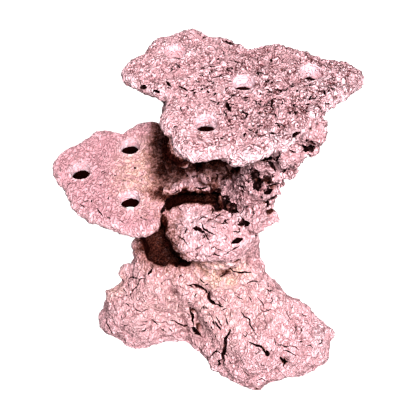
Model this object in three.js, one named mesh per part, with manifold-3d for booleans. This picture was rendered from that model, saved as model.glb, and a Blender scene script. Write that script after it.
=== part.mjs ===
// A frag rock tower: one cast piece of reef rock that stands in an aquarium and holds coral frag plugs.
// A lobed foot narrows to a neck, a left-hand shelf with three plug holes grows from it at mid height,
// a boulder bulges out below that shelf, and a column with a crusted buttress carries the top shelf
// and its four plug holes. Millimetres, +Z up, front towards -Y. The origin is on the ground, under the
// middle of the rock.
import * as THREE from 'three';
import { ImprovedNoise } from 'three/addons/math/ImprovedNoise.js';
import { mergeVertices } from 'three/addons/utils/BufferGeometryUtils.js';
import Module from 'manifold-3d';

// Driving dimensions
const towerHeight = 198;
const shelfThickness = 9;
const topShelfLevel = towerHeight - 2; // upper face of the top shelf, without its relief
const midShelfLevel = 108; // upper face of the mid shelf, where its tilt leaves it unchanged
const midShelfTilt = 8; // degrees, the front edge hangs lower
const neckLevel = 62;
const postStep = 13; // height of one course of rings on the column and the buttress
const plugHole = 12.7; // diameter, for a standard frag plug's stem
const holeSides = 12;

// The rock is laid out round the axis of its neck, and then moved so that the origin is under its middle.
const neckAxis = new THREE.Vector3(7, 9, 0);

// Relief of the cast surface: the longest waves, and how far they move the surface
const wave = 23;
const relief = 4;
const shelfRelief = 1.6;
const shelfWave = 17;

const wasm = await Module();
wasm.setup();
const noise = new ImprovedNoise();

// How far the surface stands out at a point, about -1 to 1: noise folded at zero, in three octaves,
// so that rounded swellings meet in sharp creases.
function swelling(p, wavelength) {
  let sum = -0.6;
  for (let octave = 0; octave < 3; octave++) {
    const k = 2 ** octave / wavelength;
    sum += (2 * Math.abs(noise.noise(p.x * k + 7.3 * octave, p.y * k, p.z * k))) / 1.7 ** octave;
  }
  return sum;
}

// Merges a geometry's vertices by place, so that it is one closed skin.
function skin(geometry) {
  const bare = new THREE.BufferGeometry().setAttribute('position', geometry.getAttribute('position'));
  if (geometry.index) bare.setIndex(geometry.index);
  return mergeVertices(bare, 1e-3);
}

// Pushes every vertex of a closed skin along its normal by the swelling there.
function roughen(geometry, amount, wavelength = wave) {
  const rough = skin(geometry);
  rough.computeVertexNormals();
  const place = rough.getAttribute('position');
  const normal = rough.getAttribute('normal');
  const p = new THREE.Vector3();
  const n = new THREE.Vector3();
  for (let i = 0; i < place.count; i++) {
    p.fromBufferAttribute(place, i);
    n.fromBufferAttribute(normal, i);
    p.addScaledVector(n, amount(p) * swelling(p, wavelength));
    place.setXYZ(i, p.x, p.y, p.z);
  }
  rough.deleteAttribute('normal');
  return rough;
}

function solid(geometry) {
  const closed = skin(geometry);
  const vertProperties = closed.getAttribute('position').array;
  const mesh = { numProp: 3, vertProperties, triVerts: closed.index.array };
  return new wasm.Manifold(new wasm.Mesh(mesh));
}

// A rounded stone: its middle, its half sizes, and its turns in degrees about X, Y and Z.
function lump({ at, size, turn = [0, 0, 0], detail = 3, amount = relief }) {
  const ball = new THREE.IcosahedronGeometry(1, detail);
  ball.scale(...size);
  const [aboutX, aboutY, aboutZ] = turn.map(THREE.MathUtils.degToRad);
  ball.rotateX(aboutX).rotateY(aboutY).rotateZ(aboutZ);
  ball.translate(...at);
  return solid(roughen(ball, () => amount));
}

// A closed loop through points given as [x, y], run anticlockwise.
function loop(points) {
  const corners = points.map(([x, y]) => new THREE.Vector2(x, y));
  if (THREE.ShapeUtils.isClockWise(corners)) corners.reverse();
  return new THREE.CatmullRomCurve3(corners.map(({ x, y }) => new THREE.Vector3(x, y, 0)), true);
}

// A stone built up from rings round a middle. Every ring is [share, level]: the outline at that
// level, drawn in towards the middle to that share. Between two outlines the shape runs straight.
function stack({ outlines, rings, middle, spokes }) {
  const levels = [...outlines.keys()];
  const curves = [...outlines.values()];
  const lathe = new THREE.LatheGeometry(rings.map((ring) => new THREE.Vector2(...ring)), spokes);
  const place = lathe.getAttribute('position');
  const centre = new THREE.Vector3(...middle, 0);
  const p = new THREE.Vector3();
  for (let i = 0; i < place.count; i++) {
    const [share, level] = rings[i % rings.length];
    const around = (Math.floor(i / rings.length) % spokes) / spokes;
    const above = levels.findIndex((key) => key > level);
    const top = above < 0 ? levels.length - 1 : above;
    const low = above < 0 ? top : Math.max(0, top - 1);
    const blend = top === low ? 0 : (level - levels[low]) / (levels[top] - levels[low]);
    p.copy(curves[low].getPoint(around)).lerp(curves[top].getPoint(around), blend);
    p.lerp(centre, 1 - share);
    place.setXYZ(i, p.x, p.y, level);
  }
  return lathe;
}

// A shelf: a slab of even thickness with a rounded rim, its rings close together only near the rim.
function slab({ outline, middle, level, tilt = 0, spokes }) {
  const lower = [0, 0.6, 0.87].map((share) => [share, -shelfThickness]);
  const edge = [[0.955, -0.85], [0.98, -0.5], [0.97, -0.15]];
  const rim = edge.map(([share, up]) => [share, up * shelfThickness]);
  const upper = [0.91, 0.74, 0.5, 0].map((share) => [share, 0]);
  const rings = [...lower, ...rim, ...upper];
  const flat = stack({ outlines: new Map([[0, loop(outline)]]), rings, middle, spokes });
  flat.translate(0, -middle[1], 0);
  flat.rotateX(THREE.MathUtils.degToRad(tilt));
  flat.translate(0, middle[1], level);
  const hub = new THREE.Vector3(...middle, level);
  const growing = (p) => shelfRelief * Math.min(1, p.distanceTo(hub) / 45) ** 2; // flat at the hub
  return solid(roughen(flat, growing, shelfWave));
}

// The foot, by level: the ground, the knuckles of the toes, the shank and the neck
const foot = new Map([
  [7, loop([
    [-73, -16], [-72, -30], [-61, -41], [-46, -45], [-32, -40], [-17, -39], [-6, -48], [4, -61],
    [18, -71], [31, -75], [43, -70], [57, -67], [71, -61], [79, -51], [80, -40], [74, -26],
    [62, -15], [51, -3], [39, 13], [22, 29], [0, 36], [-24, 35], [-45, 24], [-62, 2],
  ])],
  [26, loop([
    [-65, -18], [-65, -26], [-58, -34], [-46, -37], [-32, -32], [-18, -30], [-8, -35], [2, -47],
    [14, -58], [27, -61], [39, -58], [50, -55], [60, -49], [65, -43], [65, -36], [58, -25],
    [49, -14], [41, -5], [32, 9], [20, 24], [1, 32], [-22, 32], [-41, 22], [-55, 2],
  ])],
  [44, loop([
    [-48, -8], [-48, -16], [-44, -23], [-36, -27], [-27, -25], [-18, -25], [-9, -28], [1, -34],
    [10, -40], [20, -42], [29, -41], [36, -38], [42, -34], [44, -29], [43, -23], [39, -15],
    [36, -7], [32, 3], [25, 14], [14, 25], [0, 30], [-18, 30], [-35, 20], [-46, 3],
  ])],
  [neckLevel, loop([
    [-46, 0], [-45, -7], [-40, -11], [-34, -12], [-27, -13], [-20, -16], [-12, -19], [-4, -21],
    [4, -22], [12, -22], [19, -21], [25, -18], [29, -14], [31, -9], [31, -4], [30, 2],
    [28, 8], [24, 15], [18, 22], [8, 27], [-6, 29], [-20, 27], [-34, 20], [-43, 9],
  ])],
]);

// The column, and the buttress along its right front, by level
const column = new Map([
  [86, loop([[-24, 18], [-14, 8], [0, 6], [16, 6], [28, 8], [30, 18], [22, 30], [6, 34], [-14, 32]])],
  [112, loop([[-27, 22], [-16, 12], [0, 10], [18, 10], [34, 12], [40, 24], [31, 37], [10, 43], [-15, 39]])],
  [150, loop([[-26, 20], [-16, 10], [0, 6], [18, 5], [36, 8], [43, 20], [33, 32], [12, 38], [-14, 36]])],
  [190, loop([[-31, 24], [-18, 6], [2, -6], [24, -8], [46, 0], [56, 14], [44, 28], [18, 34], [-14, 37]])],
]);
const buttress = new Map([
  [94, loop([[10, -8], [24, -15], [35, -9], [37, 6], [24, 16], [10, 8]])],
  [140, loop([[22, -6], [31, -13], [40, -8], [43, 8], [32, 18], [20, 10]])],
  [189, loop([[32, -12], [46, -20], [58, -12], [58, 6], [42, 18], [28, 6]])],
]);

// The foot starts below the ground, to be cut off flat there, and ends inside the boulder and the root
// of the mid shelf.
function footStone() {
  const rings = [
    [0, -6], [0.92, -6], [0.97, 1], [1, 9], [1, 18], [1, 26], [1, 35], [1, 44], [1, 53],
    [1, neckLevel], [1, 74], [0.94, 84], [0, 84],
  ];
  const stone = stack({ outlines: foot, rings, middle: [-2, -6], spokes: 42 });
  return solid(roughen(stone, () => 1.2 * relief));
}

// A post between two shelves, with rings at even steps.
function post(outlines, middle, spokes) {
  const levels = [...outlines.keys()];
  const height = levels.at(-1) - levels[0];
  const steps = Math.round(height / postStep);
  const sides = Array.from({ length: steps + 1 }, (_, i) => [1, levels[0] + (i / steps) * height]);
  const rings = [[0, levels[0]], ...sides, [0, levels.at(-1)]];
  const stone = stack({ outlines, rings, middle, spokes });
  return solid(roughen(stone, () => 1.5 * relief));
}

const topShelf = slab({
  outline: [
    [-48, 11], [-44, 22], [-33, 33], [-29, 41], [-18, 46], [-12, 51], [-5, 50], [-2, 45], [8, 44], [20, 36],
    [24, 31], [31, 36], [42, 35], [55, 30], [66, 24], [76, 21], [84, 14], [86, 8], [78, -1], [66, -11],
    [56, -24], [46, -34], [30, -47], [18, -52], [6, -48], [-5, -52], [-14, -48], [-19, -38], [-24, -29],
    [-25, -18], [-22, -8], [-32, -1], [-41, 4],
  ],
  middle: [14, 2],
  level: topShelfLevel,
  spokes: 49,
});
const midShelf = slab({
  outline: [
    [-99, 22], [-95, 31], [-86, 39], [-75, 47], [-64, 51], [-58, 48], [-51, 53], [-38, 57], [-18, 56],
    [8, 50], [30, 40], [40, 22], [38, 4], [26, 3], [10, 5], [-4, 6], [-15, 4], [-23, -2],
    [-28, -9], [-29, -18], [-33, -24], [-44, -27], [-57, -24], [-68, -19], [-78, -13], [-84, -6], [-89, 5],
    [-95, 14],
  ],
  middle: [-38, 18],
  level: midShelfLevel,
  tilt: midShelfTilt,
  spokes: 41,
});

// Lobes of the foot, and what sits on its neck
const bulges = [
  { at: [-48, -23, 13], size: [22, 18, 16], turn: [0, -8, 0], detail: 2 }, // left toe
  { at: [-60, -17, 21], size: [8, 9, 9], detail: 1 }, // corner of the left toe
  { at: [-53, -7, 30], size: [9, 8, 6], detail: 1 }, // ear above it
  { at: [-37, -14, 46], size: [12, 10, 19], turn: [-30, 0, 0], detail: 2 }, // spur up from the left toe
  { at: [-12, -21, 42], size: [14, 9, 19], turn: [-35, 0, 0], detail: 2 }, // left half of the front
  { at: [28, -47, 18], size: [19, 26, 18], turn: [0, 0, 15], detail: 2 }, // front toe
  { at: [15, -27, 46], size: [17, 12, 17], turn: [-40, 0, 10], detail: 2 }, // right half of the front
  { at: [59, -43, 12], size: [22, 22, 18], turn: [0, 8, 20], detail: 2 }, // right toe
  { at: [54, -33, 29], size: [10, 11, 7], turn: [0, 25, 0], detail: 2 }, // knuckle of the right toe
  { at: [3, -16, 90], size: [29, 19, 14], turn: [0, 0, 4], amount: 3 }, // boulder below the arch
  { at: [8, -19, 76], size: [18, 13, 6], turn: [15, -8, 0], detail: 2 }, // layer under the boulder
  { at: [25, -3, 101], size: [17, 15, 9], turn: [0, 10, 10], detail: 2 }, // ledge right of the arch
  { at: [-4, 11, 109], size: [22, 10, 4.5], detail: 1, amount: 2 }, // brow of the arch
  { at: [-33, 15, 90], size: [14, 18, 17], detail: 2 }, // root of the mid shelf
];

// Crust on the buttress, from the ledge up to the ear, then under the rims of the two shelves, and last
// the thick places that four of the plug holes go through
const crust = [
  { at: [30, -17, 104], size: [9, 8, 7], turn: [0, 20, 0] },
  { at: [30, -8, 113], size: [12, 10, 6], turn: [10, -10, 0] },
  { at: [31, -12, 127], size: [10, 8, 7], turn: [20, 15, 0] },
  { at: [38, -8, 143], size: [9, 10, 6], turn: [10, 25, 0] },
  { at: [44, -15, 161], size: [9, 9, 7], turn: [25, 0, 0] },
  { at: [54, -14, 178], size: [9, 10, 9], turn: [0, 0, 20] }, // ear
  { at: [-14, -36, 184], size: [5, 5, 8], turn: [0, 10, 0] },
  { at: [18, -33, 185], size: [20, 9, 6], turn: [0, 0, 15] },
  { at: [-31, 10, 187], size: [8, 6, 4] },
  { at: [-30, 31, 95], size: [20, 15, 10], turn: [0, 10, 0] },
  { at: [-20, 38, 94], size: [18, 13, 10] },
  { at: [10, 36, 92], size: [22, 12, 14] },
  { at: [-80, 23, 99], size: [12, 11, 7] },
  { at: [-50, 42, 101], size: [12, 11, 7] },
  { at: [-46, 3, 97], size: [12, 11, 7] },
  { at: [-1, -25, 186], size: [12, 10, 7] },
];

// Pits and caves round the boulder
const hollows = [
  { at: [-3, 8, 89], size: [20, 11, 16], detail: 1, amount: 2 }, // under the brow, behind the boulder
  { at: [-20, 0, 94], size: [10, 10, 9], turn: [0, 10, 30], detail: 1, amount: 2 }, // its left end
  { at: [15, -4, 98], size: [10, 8, 6], turn: [0, 15, -35], detail: 1, amount: 2 }, // its right end
  { at: [-29, -3, 67], size: [13, 14, 25], detail: 1, amount: 2 }, // left of the boulder
  { at: [-43, -14, 78], size: [14, 13, 15], detail: 1 }, // under the front of the mid shelf
  { at: [-18, -8, 66], size: [16, 13, 12], detail: 1, amount: 2 }, // below the left end of the boulder
];

// Crevices, each along a chain of points on the surface
const crevices = [
  { path: [[-13, -27, 50], [-3, -29, 50], [2, -36, 46], [10, -40, 44]], width: 3, depth: 6 }, // crescent
  { path: [[15, -50, 36], [10, -56, 26], [11, -60, 17], [6, -66, 7]], width: 3, depth: 7 }, // front toe
  { path: [[-12, -35, 34], [-9, -37, 25], [-3, -47, 18]], width: 4, depth: 8 }, // head of the bay
  { path: [[21, -45, 44], [28, -50, 38], [30, -58, 36], [39, -66, 28]], width: 2.5, depth: 5 }, // instep
  { path: [[50, -66, 19], [47, -58, 27]], width: 4, depth: 7 }, // between the front and right toes
  { path: [[-13, -24, 101], [-5, -27, 101]], width: 3, depth: 6 }, // boulder
  { path: [[-36, -13, 61], [-38, -20, 54]], width: 3, depth: 7 }, // beside the ear
  { path: [[30, -11, 138], [31, -16, 133]], width: 4, depth: 9 }, // slot in the buttress
];

// Plug holes, [x, y] on the upper face of each shelf
const topHoles = [[-18, 28], [19, 3], [56, 11], [-1, -28]];
const midHoles = [[-80, 19], [-50, 38], [-48, -2]];

const crustLump = (stone) => lump({ detail: 1, amount: 3, ...stone });

// A plug hole's cutter, which reaches well past both faces of its shelf.
function bore([x, y], level) {
  const reach = 4 * shelfThickness;
  const drill = new THREE.CylinderGeometry(plugHole / 2, plugHole / 2, reach, holeSides);
  drill.rotateX(Math.PI / 2);
  drill.translate(x, y, level);
  return solid(drill);
}

// Cuts a crevice: one thin blade for every step of its path, on edge in the surface.
function crevice({ path, width, depth }) {
  const points = path.map((point) => new THREE.Vector3(...point));
  return points.slice(1).map((end, i) => {
    const start = points[i];
    const middle = start.clone().lerp(end, 0.5);
    const outward = new THREE.Vector3(middle.x, middle.y, 25); // away from the neck's axis, and up
    const blade = new THREE.OctahedronGeometry(1, 1);
    blade.scale(width / 2, depth, start.distanceTo(end) / 2 + width);
    blade.applyMatrix4(new THREE.Matrix4().lookAt(end, start, outward));
    blade.translate(...middle);
    return solid(blade);
  });
}

function towerStone() {
  const posts = [post(column, [10, 22], 18), post(buttress, [34, -1], 12)];
  const stones = [footStone(), ...posts, topShelf, midShelf, ...bulges.map(lump), ...crust.map(crustLump)];
  const ground = new THREE.BoxGeometry(2 * towerHeight, 2 * towerHeight, towerHeight);
  ground.translate(0, 0, -towerHeight / 2);
  const cuts = [
    solid(ground),
    ...hollows.map(lump),
    ...crevices.flatMap(crevice),
    ...topHoles.map((hole) => bore(hole, topShelfLevel - shelfThickness / 2)),
    ...midHoles.map((hole) => bore(hole, midShelfLevel - shelfThickness / 2)),
  ];
  const joined = stones.reduce((sum, stone) => sum.add(stone));
  return cuts.reduce((rest, cut) => rest.subtract(cut), joined);
}

// Gives a solid back as a geometry.
function geometryOf(manifold) {
  const { vertProperties, triVerts } = manifold.getMesh();
  return new THREE.BufferGeometry()
    .setAttribute('position', new THREE.BufferAttribute(vertProperties, 3))
    .setIndex(new THREE.BufferAttribute(triVerts, 1));
}

const coralPink = new THREE.MeshStandardMaterial({ color: 0xc98f96, roughness: 0.95, metalness: 0 });

const rock = new THREE.Mesh(geometryOf(towerStone()), coralPink);
rock.name = 'rock_tower';
rock.position.copy(neckAxis);

const tower = new THREE.Group();
tower.add(rock);

export default tower;
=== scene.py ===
import math
from itertools import product
import bpy
import bmesh
import numpy as np
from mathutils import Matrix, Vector
from mathutils.bvhtree import BVHTree


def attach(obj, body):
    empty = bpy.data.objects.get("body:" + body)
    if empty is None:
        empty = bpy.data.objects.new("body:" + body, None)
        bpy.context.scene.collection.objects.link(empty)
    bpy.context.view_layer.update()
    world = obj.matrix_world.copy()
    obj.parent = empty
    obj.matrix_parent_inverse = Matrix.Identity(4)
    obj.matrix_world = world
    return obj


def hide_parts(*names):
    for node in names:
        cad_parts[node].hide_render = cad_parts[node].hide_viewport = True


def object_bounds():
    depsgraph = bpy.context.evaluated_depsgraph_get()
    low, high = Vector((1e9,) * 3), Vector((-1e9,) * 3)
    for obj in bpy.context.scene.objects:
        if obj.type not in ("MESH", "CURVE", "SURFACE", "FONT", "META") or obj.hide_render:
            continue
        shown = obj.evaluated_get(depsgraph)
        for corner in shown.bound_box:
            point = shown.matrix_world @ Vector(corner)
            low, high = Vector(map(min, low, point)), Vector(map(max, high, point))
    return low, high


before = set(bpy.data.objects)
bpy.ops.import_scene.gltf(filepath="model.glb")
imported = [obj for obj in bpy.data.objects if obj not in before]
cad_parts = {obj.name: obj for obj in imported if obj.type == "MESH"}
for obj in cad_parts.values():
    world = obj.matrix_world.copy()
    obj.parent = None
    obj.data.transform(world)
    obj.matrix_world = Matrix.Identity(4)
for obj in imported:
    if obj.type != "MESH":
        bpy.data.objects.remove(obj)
cadBox = [list(corner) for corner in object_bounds()]
print("frame loaded, CAD box", [[round(v, 4) for v in corner] for corner in cadBox])

# Shapes are worked out in millimetres and put into the meshes in metres.
mm = 0.001


# A new shader node, laid out in columns of eight.
def place(tree, kind, **settings):
    column, row = divmod(len(tree.nodes), 8)
    node = tree.nodes.new("ShaderNode" + kind)
    node.location = (220 * column - 1500, 600 - 220 * row)
    for key, value in settings.items():
        setattr(node, key, value)
    return node


# Sets a slot to a colour or a number, or links it to an output. A word stands for its value in paint.
def feed(value, slot):
    value = paint[value] if isinstance(value, str) else value
    if isinstance(value, tuple):
        slot.default_value = (*value, 1)
    elif isinstance(value, (int, float)):
        slot.default_value = value
    else:
        slot.id_data.links.new(value, slot)


def feedAll(node, values):
    for name, value in values.items():
        feed(value, node.inputs[name])


# Camera, floor and light, first because the cracks are drawn as the camera sees the rock
studio = {
    "cameraAt": (0.007, -0.3252, 0.4933),
    "cameraDown": 50,  # degrees
    "lens": 72,
    "sensor": 36,
    "picture": 416,  # points across and down
    "clip": (0.01, 20),
    "aim": (0.007, 0.01, 0.10),
    "lamps": [  # degrees right of the camera and above the horizon, distance, size, watts
        ("keyLamp", 10, 54, 1.1, 0.16, 27.5),
        ("fillLamp", 18, 26, 1.2, 0.4, 11),
        ("backLampRight", 145, 10, 1.2, 0.6, 9),
        ("backLampLeft", 215, 10, 1.2, 0.6, 9),
    ],
    "skyLight": 0.06,
    "floorSize": 8,
    "floorLevel": -0.0004,
    "floorColour": (0.2, 0.2, 0.2),
    "floorRough": 0.9,
    "floorGlow": 1.2,
}


def addObject(name, data):
    added = bpy.data.objects.new(name, data)
    bpy.context.collection.objects.link(added)
    return added


def makeCamera():
    data = bpy.data.cameras.new("camera")
    data.lens, data.sensor_width = studio["lens"], studio["sensor"]
    data.clip_start, data.clip_end = studio["clip"]
    camera = addObject("camera", data)
    camera.location = studio["cameraAt"]
    camera.rotation_euler = (math.radians(90 - studio["cameraDown"]), 0, 0)
    bpy.context.scene.camera = camera
    return camera


# A round lamp that faces the aim.
def makeLamp(name, azimuth, height, away, size, power):
    a, e = math.radians(azimuth), math.radians(height)
    data = bpy.data.lights.new(name, "AREA")
    data.shape, data.size, data.energy = "DISK", size, power
    lamp = addObject(name, data)
    toLamp = Vector((math.sin(a) * math.cos(e), -math.cos(a) * math.cos(e), math.sin(e)))
    lamp.location = Vector(studio["aim"]) + toLamp * away
    lamp.rotation_euler = toLamp.to_track_quat("Z", "Y").to_euler()


def makeFloor():
    bpy.ops.mesh.primitive_plane_add(size=studio["floorSize"], location=(0, 0, studio["floorLevel"]))
    floor = bpy.context.object
    floor.name = "floor"
    paper = bpy.data.materials.new("palePaper")
    paper.use_nodes = True
    shader = paper.node_tree.nodes["Principled BSDF"]
    feedAll(shader, {"Base Color": studio["floorColour"], "Roughness": studio["floorRough"],
                     "Emission Color": (1, 1, 1), "Emission Strength": studio["floorGlow"]})
    floor.data.materials.append(paper)
    floor.visible_diffuse = False  # the paper doesn't light the undersides


# The air is white to the camera, and dim to the rock.
def makeSky():
    world = bpy.data.worlds.new("studioAir")
    world.use_nodes = True
    tree = world.node_tree
    seen, dim = tree.nodes["Background"], place(tree, "Background")
    feedAll(seen, {"Color": (1, 1, 1)})
    feedAll(dim, {"Strength": studio["skyLight"]})
    path, mix = place(tree, "LightPath"), place(tree, "MixShader")
    feedAll(mix, {"Fac": path.outputs["Is Camera Ray"], 1: dim.outputs[0], 2: seen.outputs[0]})
    feedAll(tree.nodes["World Output"], {"Surface": mix.outputs[0]})
    bpy.context.scene.world = world


camera = makeCamera()
makeFloor()
makeSky()
for lamp in studio["lamps"]:
    makeLamp(*lamp)
bpy.context.scene.view_settings.view_transform = "Standard"
bpy.context.scene.view_settings.look = "None"
print("camera, floor and light are in place")


# A ramp from 0 to 1 between two values, flat at both ends.
def ramp(value, low, high):
    t = np.clip((value - low) / (high - low), 0, 1)
    return t * t * (3 - 2 * t)


# A fixed pseudo-random number, 0 to 1, for each whole-number place.
def scatter(i, j, k, seed):
    n = (i * 73856093) ^ (j * 19349663) ^ (k * 83492791) ^ (seed * 668265263)
    n = ((n ^ (n >> 13)) * 1274126177) & 0x7FFFFFFF
    return ((n ^ (n >> 16)) & 0xFFFF) / 65535.0


# Gradient noise, about -1 to 1: slopes of a lattice's corners, blended with 6t^5 - 15t^4 + 10t^3.
def waves(points, size, seed):
    q = points / size
    cell = np.floor(q).astype(np.int64)
    f = q - cell
    u = f * f * f * (f * (f * 6 - 15) + 10)
    total = np.zeros(len(points))
    for a, b, c in product((0, 1), repeat=3):
        i, j, k = cell[:, 0] + a, cell[:, 1] + b, cell[:, 2] + c
        slope = sum((scatter(i, j, k, seed + 11 * n) * 2 - 1) * (f[:, n] - (a, b, c)[n]) for n in range(3))
        share = np.abs(1 - a - u[:, 0]) * np.abs(1 - b - u[:, 1]) * np.abs(1 - c - u[:, 2])
        total += slope * share
    return total * 1.3


# Octaves of waves, each half the size of the one before and fade times as high.
def roughness(points, size, seed, octaves=3, fade=0.55):
    return sum(waves(points, size / 2 ** n, seed + 101 * n) * fade ** n for n in range(octaves))


# Waves folded at zero: round swellings, about 1 high, with sharp creases at 0.
def swellings(points, size, seed, octaves=2, fade=0.5):
    return sum(np.abs(waves(points, size / 2 ** n, seed + 57 * n)) * fade ** n for n in range(octaves)) * 2


# How much further off the second nearest of scattered points is than the nearest: 0 between two grains.
def grains(points, size, seed):
    q = points / size
    cell = np.floor(q).astype(np.int64)
    near = np.full(len(points), 9.0)
    second = np.full(len(points), 9.0)
    for a, b, c in product((-1, 0, 1), repeat=3):
        i, j, k = cell[:, 0] + a, cell[:, 1] + b, cell[:, 2] + c
        gap = sum(((i, j, k)[n] + scatter(i, j, k, seed + 7 * n) - q[:, n]) ** 2 for n in range(3))
        second = np.minimum(second, np.maximum(near, gap))
        near = np.minimum(near, gap)
    return np.sqrt(second) - np.sqrt(near)


# A new mesh object, from points in millimetres and faces.
def putMesh(name, points, faces):
    mesh = bpy.data.meshes.new(name)
    mesh.from_pydata((points * mm).tolist(), [], faces)
    mesh.update()
    return addObject(name, mesh)


# One value of every point, edge, corner or face as an array.
def valuesOf(items, name, each=1, kind=np.int32):
    values = np.empty(len(items) * each, dtype=kind)
    items.foreach_get(name, values)
    return values.reshape(-1, each) if each > 1 else values


# The mesh's points, in millimetres, and normals.
def readMesh(mesh):
    return valuesOf(mesh.vertices, "co", 3, float) / mm, valuesOf(mesh.vertices, "normal", 3, float)


def writePoints(mesh, points):
    mesh.vertices.foreach_set("co", (points * mm).ravel())
    mesh.update()


def edgesOf(mesh):
    return valuesOf(mesh.edges, "vertices", 2, np.int64)


# The sum over each point's neighbours, divided by their number.
def neighbourMean(values, edges):
    one = np.concatenate((edges[:, 0], edges[:, 1]))
    other = np.concatenate((edges[:, 1], edges[:, 0]))
    total = len(values)
    count = np.bincount(one, minlength=total)
    if values.ndim == 1:
        return np.bincount(one, values[other], total) / count
    return np.stack([np.bincount(one, values[other, n], total) for n in range(3)], 1) / count[:, None]


# Moves points towards their neighbours' mean and part of the way back, by turns. A hold of 1 stays.
def relax(points, edges, passes, hold=0, back=0.53):
    free = 1 - np.broadcast_to(hold, len(points))[:, None]
    for step in range(passes):
        mean = neighbourMean(points, edges)
        points = points + (mean - points) * free * (0.5 if step % 2 == 0 else -back)
    return points


# Half of each value and half of its neighbours' mean, over and over.
def spread(values, edges, passes):
    for step in range(passes):
        values = 0.5 * values + 0.5 * neighbourMean(values, edges)
    return values


# Applies one modifier and leaves the object with a plain mesh.
def finishWith(piece, kind, **settings):
    step = piece.modifiers.new(kind.lower(), kind)
    for key, value in settings.items():
        setattr(step, key, value)
    bpy.context.view_layer.update()
    made = bpy.data.meshes.new_from_object(piece.evaluated_get(bpy.context.evaluated_depsgraph_get()))
    piece.modifiers.clear()
    old = piece.data
    piece.data = made
    bpy.data.meshes.remove(old)


# Colours, then each layer's share: a number, or the limits of a smooth step and its ends
paint = {
    "deepPink": (0.63, 0.285, 0.31),
    "pink": (0.77, 0.42, 0.46),
    "palePink": (0.88, 0.55, 0.595),
    "midPink": (0.54, 0.255, 0.29),  # upper face of the mid shelf
    "white": (0.92, 0.66, 0.72),  # rims, and specks that are partly painted highlight
    "palest": (0.93, 0.70, 0.76),  # paler patches
    "holePale": (0.74, 0.52, 0.575),
    # dark of creases and cracks, and painted shade in hollows
    "crease": (0.085, 0.018, 0.020),
    "dusk": (0.27, 0.10, 0.08),  # edges of the painted shade
    "deepShade": (0.010, 0.0012, 0.001),  # painted shade in the depths of the caves and the holes
    "rust": (0.085, 0.022, 0.015),  # reddish grit in the painted shade
    "lip": (0.04, 0.009, 0.009),  # of a crack
    "crack": (0.006, 0.0015, 0.0015),
    "tan": (0.74, 0.43, 0.35),
    "cloudSize": 13,
    "patchSize": 3.6,
    "gritSize": 1.3,
    "palePatches": (0.38, 0.64),
    "pinkClouds": (0.35, 0.65, 0.7, 0.3),
    "paleClouds": (0.54, 0.68, 0, 0.5),
    "dullFace": 0.9,
    "tanPatches": (0.4, 0.6, 0.25, 0.85),
    "edges": 0.45,
    "wornPatches": (0.36, 0.50, 0.3, 1),
    "rimPatches": (0.42, 0.60, 0.1, 0.55),
    "specks": 0.2,
    "cavities": 0.65,
    "ragged": 1.3,  # borders of the painted shade
    "rustGrit": (0.42, 0.64),
    "rustShade": (0.95, 1.25, 1, 0.12),
    "duskShade": (0.12, 0.50, 0, 0.75),
    "caveShade": (0.40, 0.85),
    "crackInside": (0.02, 0.2),
    "crackSpecks": 0.05,
    "holeCloudSize": 6.5,
    "holePatches": (0.46, 0.54),
    "holeCreases": 0.6,
    "holeRagged": 6.0,
    "holeDark": (13.2, 14.2),  # below the shelf's face
    "bump": {"rock": 1.35, "crack": 0.5, "hole": 0.9},
    "rough": {"rock": 0.92, "crack": 0.95, "hole": 0.9},
}


def socket(tree, name, kind, way="INPUT"):
    tree.interface.new_socket(name=name, in_out=way, socket_type="NodeSocket" + kind)


def sums(operation, a, b):
    node = place(a.id_data, "Math", operation=operation)
    feed(a, node.inputs[0])
    feed(b, node.inputs[1])
    return node.outputs[0]


def times(a, b):
    return sums("MULTIPLY", a, b)


# A smooth step between the first two limits, from 0 to 1 or from the third to the fourth.
def span(value, limits):
    node = place(value.id_data, "MapRange", interpolation_type="SMOOTHSTEP")
    limits = paint[limits] if isinstance(limits, str) else limits
    feedAll(node, dict(zip(("Value", "From Min", "From Max", "To Min", "To Max"), (value, *limits))))
    return node.outputs["Result"]


def blend(share, a, b):
    node = place(share.id_data, "Mix", data_type="RGBA")
    slots = {(s.name, s.type): s for s in node.inputs}
    feed(share, slots["Factor", "VALUE"])
    feed(a, slots["A", "RGBA"])
    feed(b, slots["B", "RGBA"])
    return next(s for s in node.outputs if s.type == "RGBA")


# Lays colours over each other, each by its share.
def layered(colour, layers):
    for share, over in layers:
        colour = blend(share, colour, over)
    return colour


# A noise whose waves have the given size in millimetres.
def noiseAt(coordinate, size, detail=3, rough=0.6, bend=0.0):
    node = place(coordinate.id_data, "TexNoise")
    feedAll(node, {"Vector": coordinate, "Scale": 1 / (size * mm), "Detail": detail, "Roughness": rough,
                   "Distortion": bend})
    return node.outputs["Fac"]


def attribute(tree, name):
    return place(tree, "Attribute", attribute_name=name).outputs["Fac"]


# Grain of the cast sand: sizes and detail of its noises, then what is drawn from them
grain = {
    "stretch": (1.25, 0.78, 0.85),  # below 1 the creases run on, above 1 they crowd
    "large": (3.8, 2, 0.55, 0.7),
    "small": (2.5, 1, 0.55, 0.7),
    "patch": (6.0, 2, 0.5),
    "fine": (2.0, 1, 0.55),
    "largeLine": (0.0, 0.06, 1, 0),
    "smallLine": (0.0, 0.085, 1, 0),
    "smallShare": (0.0, 1.0, 0.5, 1),  # by coarseness
    "patches": (0.40, 0.60, 0.5, 1),  # how strong the creases are
    "darkSpecks": (0.30, 0.42, 0.5, 0),
    "paleSpecks": (0.56, 0.72),
    "largeRise": (0.0, 0.14, 0, 0.7),  # heights away from the creases
    "smallRise": (0.0, 0.12, 0, 0.6),
    "fineRise": 0.45,
}
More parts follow.
